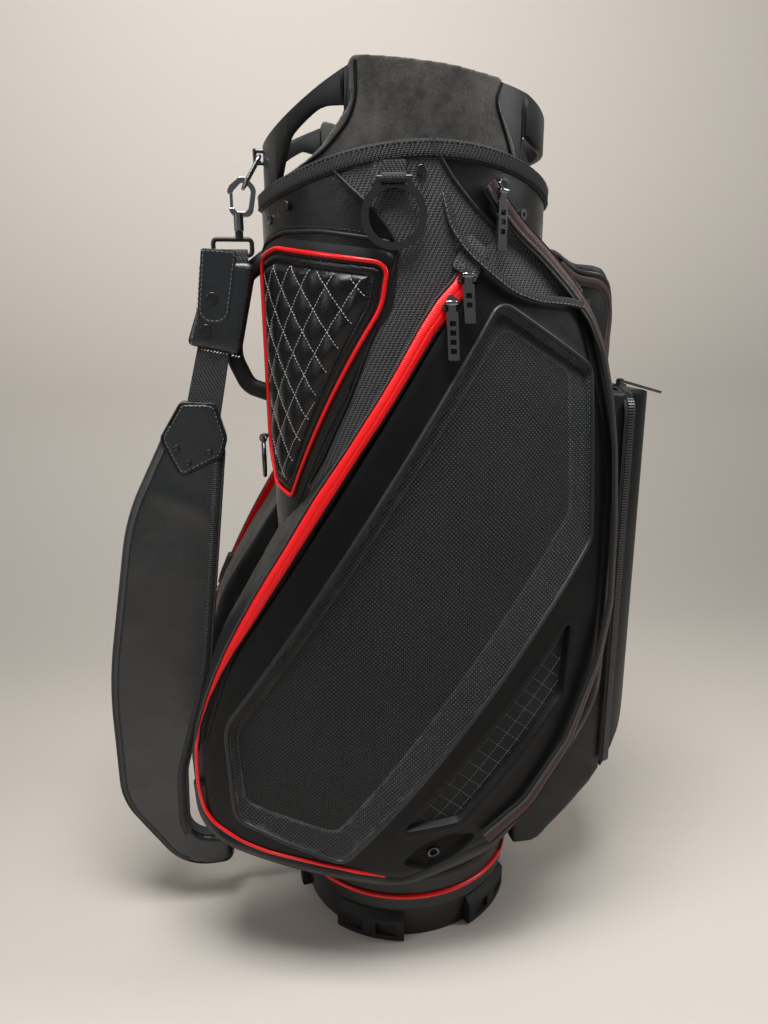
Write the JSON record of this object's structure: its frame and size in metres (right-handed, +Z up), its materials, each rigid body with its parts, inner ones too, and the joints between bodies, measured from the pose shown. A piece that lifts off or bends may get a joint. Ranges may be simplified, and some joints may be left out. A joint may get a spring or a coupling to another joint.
{
  "type": "golf bag",
  "caption": "Free-standing tour staff golf bag with a divided club top, side and front zip pockets, towel ring and a padded shoulder strap that swings on its hardware.",
  "frame": {"origin": "on the floor under the axis of the leather tube, at the centre of the sole", "axes": "+Z up the tube, +X towards the ball pocket, -X towards the spine and shoulder strap, -Y towards the near apparel pocket"},
  "size_m": [0.6164, 0.3798, 0.9055],
  "materials": {
    "boot": "moulded, satin",
    "piping": "glossy piping",
    "lining": "woven lining",
    "leather": "fine pebble, satin",
    "stay": "drawn rod",
    "cuff": "moulded, satin",
    "velour": "brushed pile",
    "webbing": "coarse woven",
    "stud": "moulded",
    "steel": "polished plating",
    "mesh": "open knit",
    "shell": "moulded foam, satin",
    "rim": "moulded edge, textured",
    "zip": "coated zip tape",
    "towel_ring": "moulded, gloss",
    "zip_metal": "dark plating"
  },
  "bodies": {
    "bag": {"base_boot": "boot", "base_feet": "boot", "base_piping": "piping", "base_pad": "lining", "body_shell": "leather", "frame_stays": "stay", "top_cuff": "cuff", "cuff_cover_near": "velour", "cuff_cover_far": "velour", "collar_band": "webbing", "divider_grid": "velour", "divider_centre": "lining", "divider_sides": "lining", "hood_studs": "stud", "collar_screws": "steel", "quilted_panel_near": "leather", "quilted_panel_far": "leather", "quilt_pipings": "piping", "mesh_panels": "mesh", "side_pocket_near": "leather", "side_pocket_far": "leather", "side_panel_near": "shell", "side_panel_far": "shell", "side_rims": "rim", "side_zip_tapes": "zip", "front_pocket": "leather", "front_zip_tape": "zip", "front_panel": "leather", "valuables_pocket": "leather", "towel_loop": "webbing", "spine_tab": "webbing", "grab_handle": "leather", "strap_staple": "steel", "lower_anchor": "steel"},
    "strap": {"strap_ring": "steel", "strap_loop": "steel", "strap_sleeve": "leather", "sleeve_snaps": "stud", "strap_webbing_upper": "webbing", "strap_patch": "leather", "patch_rivets": "steel", "strap_pad": "leather", "strap_webbing_lower": "webbing"},
    "hook": {"snap_hook": "steel"},
    "gate": {"hook_gate": "steel"},
    "towel_ring": {"towel_ring": "towel_ring"},
    "spine_ring": {"spine_ring": "steel"},
    "slider_near_a": {"slider_near_a": "zip_metal"},
    "pull_near_a": {"pull_near_a": "zip_metal"},
    "slider_near_b": {"slider_near_b": "zip_metal"},
    "pull_near_b": {"pull_near_b": "zip_metal"},
    "slider_far_main": {"slider_far_main": "zip_metal"},
    "pull_far_main": {"pull_far_main": "zip_metal"},
    "slider_near_collar": {"slider_near_collar": "zip_metal"},
    "pull_near_collar": {"pull_near_collar": "zip_metal"},
    "slider_far_collar": {"slider_far_collar": "zip_metal"},
    "pull_far_collar": {"pull_far_collar": "zip_metal"},
    "slider_front": {"slider_front": "zip_metal"},
    "pull_front": {"pull_front": "zip_metal"}
  },
  "joints": [
    {"name": "strap_swing", "type": "hinge", "parent": "bag", "child": "strap", "pos_m": [-0.149, 0, 0.846], "axis": [-0.0148, 0, 0.9999], "range_deg": [0, 13]},
    {"name": "hook_swivel", "type": "hinge", "parent": "strap", "child": "hook", "pos_m": [-0.168, -0.009, 0.776], "axis": [0, 0, 1], "range_deg": [-6, 6]},
    {"name": "hook_gate", "type": "hinge", "parent": "hook", "child": "gate", "pos_m": [-0.174, -0.009, 0.796], "axis": [0, 1, 0], "range_deg": [0, 20], "stiffness_Nm_per_rad": 0.01, "springref_deg": -28.65},
    {"name": "towel_ring_tilt", "type": "hinge", "parent": "bag", "child": "towel_ring", "pos_m": [-0.03648, -0.14632, 0.808], "axis": [0.9703, -0.2419, 0], "range_deg": [-100, 0]},
    {"name": "spine_ring_tilt", "type": "hinge", "parent": "bag", "child": "spine_ring", "pos_m": [-0.1532, 0, 0.5655], "axis": [0, 1, 0], "range_deg": [0, 70]},
    {"name": "zip_near_a", "type": "slide", "parent": "bag", "child": "slider_near_a", "axis": [-0.5346, -0.1867, -0.8242], "range_m": [0, 0.0395]},
    {"name": "pull_near_a", "type": "hinge", "parent": "slider_near_a", "child": "pull_near_a", "pos_m": [0.02744, -0.15514, 0.72875], "axis": [-0.9953, -0.0968, 0], "range_deg": [0, 150]},
    {"name": "zip_near_b", "type": "slide", "parent": "slider_near_a", "child": "slider_near_b", "axis": [-0.5383, -0.1468, -0.8299], "range_m": [0, 0.0595]},
    {"name": "pull_near_b", "type": "hinge", "parent": "slider_near_b", "child": "pull_near_b", "pos_m": [0.01184, -0.16069, 0.70517], "axis": [-0.9984, -0.0558, 0], "range_deg": [0, 150]},
    {"name": "zip_far_main", "type": "slide", "parent": "bag", "child": "slider_far_main", "axis": [0.4216, 0.1729, 0.8901], "range_m": [0, 0.0635]},
    {"name": "pull_far_main", "type": "hinge", "parent": "slider_far_main", "child": "pull_far_main", "pos_m": [-0.21536, 0.14576, 0.34525], "axis": [0.8775, 0.4796, 0], "range_deg": [0, 150]},
    {"name": "zip_near_collar", "type": "slide", "parent": "bag", "child": "slider_near_collar", "axis": [0.7046, 0.1042, -0.7019], "range_m": [0, 0.0422]},
    {"name": "pull_near_collar", "type": "hinge", "parent": "slider_near_collar", "child": "pull_near_collar", "pos_m": [0.06151, -0.14282, 0.8], "axis": [-0.9184, -0.3955, 0], "range_deg": [0, 150]},
    {"name": "zip_far_collar", "type": "slide", "parent": "bag", "child": "slider_far_collar", "axis": [0.7046, -0.1042, -0.7019], "range_m": [0, 0.0422]},
    {"name": "pull_far_collar", "type": "hinge", "parent": "slider_far_collar", "child": "pull_far_collar", "pos_m": [0.06151, 0.14282, 0.8], "axis": [0.9184, -0.3955, 0], "range_deg": [0, 150]},
    {"name": "zip_front", "type": "slide", "parent": "bag", "child": "slider_front", "axis": [0, 1, 0], "range_m": [0, 0.0695]},
    {"name": "pull_front", "type": "hinge", "parent": "slider_front", "child": "pull_front", "pos_m": [0.234, -0.045, 0.6231], "axis": [0, -1, 0], "range_deg": [0, 65]}
  ]
}
